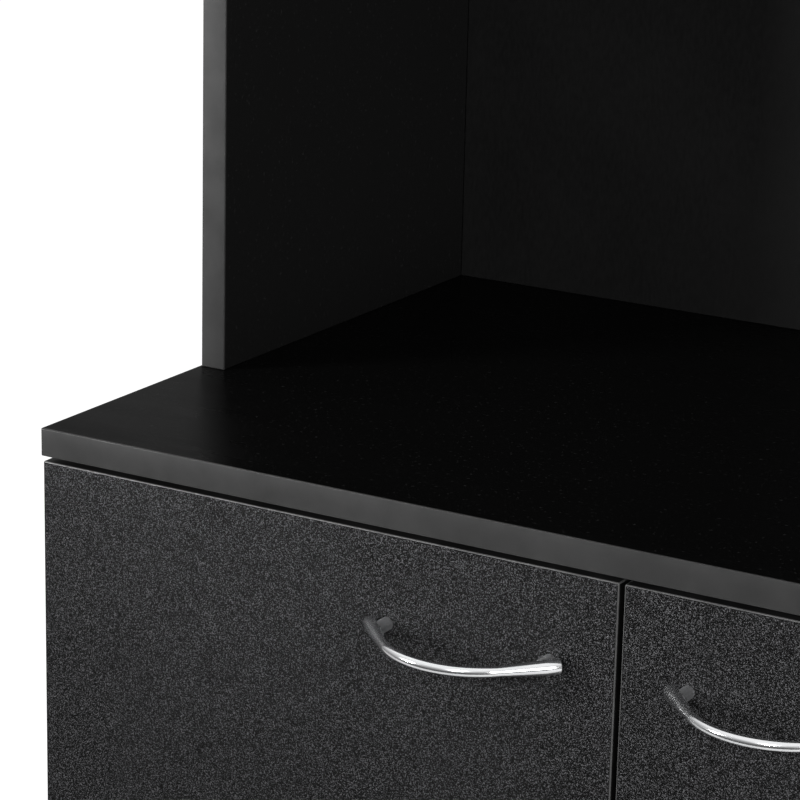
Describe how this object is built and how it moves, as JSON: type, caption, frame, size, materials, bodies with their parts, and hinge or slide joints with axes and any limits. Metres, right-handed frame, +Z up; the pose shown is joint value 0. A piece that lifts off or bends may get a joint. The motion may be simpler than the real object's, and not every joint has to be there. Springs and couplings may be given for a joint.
{
  "type": "kitchen pantry cabinet",
  "caption": "Tall kitchen cabinet: a door-fronted base under an overhanging worktop, and a shallower hutch with an open bay, a wide drawer and a cupboard, all with bow handles.",
  "frame": {"origin": "on the floor, midway across the width, and midway in depth between the rear edges and the outermost point of the lower handles", "axes": "+X to the right of someone who faces the cabinet, +Y from front to back, +Z up"},
  "size_m": [0.712, 0.4932, 1.822],
  "materials": {
    "laminate": "smooth semi-gloss black laminate on particleboard",
    "pebbled_laminate": "fine-pebbled semi-gloss black laminate",
    "hardboard": "satin black hardboard",
    "chrome": "polished",
    "plated_steel": "nickel-plated, satin",
    "black_plastic": "moulded, matte",
    "beech": "plain beech",
    "clear_plastic": "soft translucent pad"
  },
  "bodies": {
    "cabinet": {"base_side_left": "laminate", "base_side_right": "laminate", "hutch_side_left": "laminate", "hutch_side_right": "laminate", "base_bottom": "laminate", "plinth": "laminate", "bay_ceiling": "laminate", "cupboard_floor": "laminate", "countertop": "laminate", "top_panel": "laminate", "base_back": "hardboard", "hutch_back": "hardboard", "base_shelf": "laminate", "cupboard_shelf": "laminate", "shelf_pins": "plated_steel", "glides": "black_plastic", "cam_locks": "plated_steel", "cam_bolts": "plated_steel", "dowels": "beech", "hinge_arms": "plated_steel", "hinge_plates": "plated_steel", "door_bumpers": "clear_plastic", "drawer_rail_left": "black_plastic", "drawer_rail_right": "black_plastic", "tip_brackets": "plated_steel"},
    "lower_left_door": {"door_lower_left": "pebbled_laminate", "hinge_cups_lower_left": "plated_steel", "handle_lower_left": "chrome", "handle_screws_lower_left": "plated_steel"},
    "lower_right_door": {"door_lower_right": "pebbled_laminate", "hinge_cups_lower_right": "plated_steel", "handle_lower_right": "chrome", "handle_screws_lower_right": "plated_steel"},
    "upper_left_door": {"door_upper_left": "pebbled_laminate", "hinge_cups_upper_left": "plated_steel", "handle_upper_left": "chrome", "handle_screws_upper_left": "plated_steel"},
    "upper_right_door": {"door_upper_right": "pebbled_laminate", "hinge_cups_upper_right": "plated_steel", "handle_upper_right": "chrome", "handle_screws_upper_right": "plated_steel"},
    "drawer": {"drawer_front": "pebbled_laminate", "drawer_side_left": "laminate", "drawer_side_right": "laminate", "drawer_back": "laminate", "drawer_bottom": "hardboard", "handle_drawer": "chrome", "handle_screws_drawer": "plated_steel"}
  },
  "joints": [
    {"name": "lower_left_door_hinge", "type": "hinge", "parent": "cabinet", "child": "lower_left_door", "pos_m": [-0.349, -0.1934, 0.43], "axis": [0, 0, -1], "range_deg": [0, 95]},
    {"name": "lower_right_door_hinge", "type": "hinge", "parent": "cabinet", "child": "lower_right_door", "pos_m": [0.349, -0.1934, 0.43], "axis": [0, 0, 1], "range_deg": [0, 95]},
    {"name": "upper_left_door_hinge", "type": "hinge", "parent": "cabinet", "child": "upper_left_door", "pos_m": [-0.349, -0.0604, 1.6], "axis": [0, 0, -1], "range_deg": [0, 95]},
    {"name": "upper_right_door_hinge", "type": "hinge", "parent": "cabinet", "child": "upper_right_door", "pos_m": [0.349, -0.0604, 1.6], "axis": [0, 0, 1], "range_deg": [0, 95]},
    {"name": "drawer_slide", "type": "slide", "parent": "cabinet", "child": "drawer", "axis": [0, -1, 0], "range_m": [0, 0.19]}
  ]
}
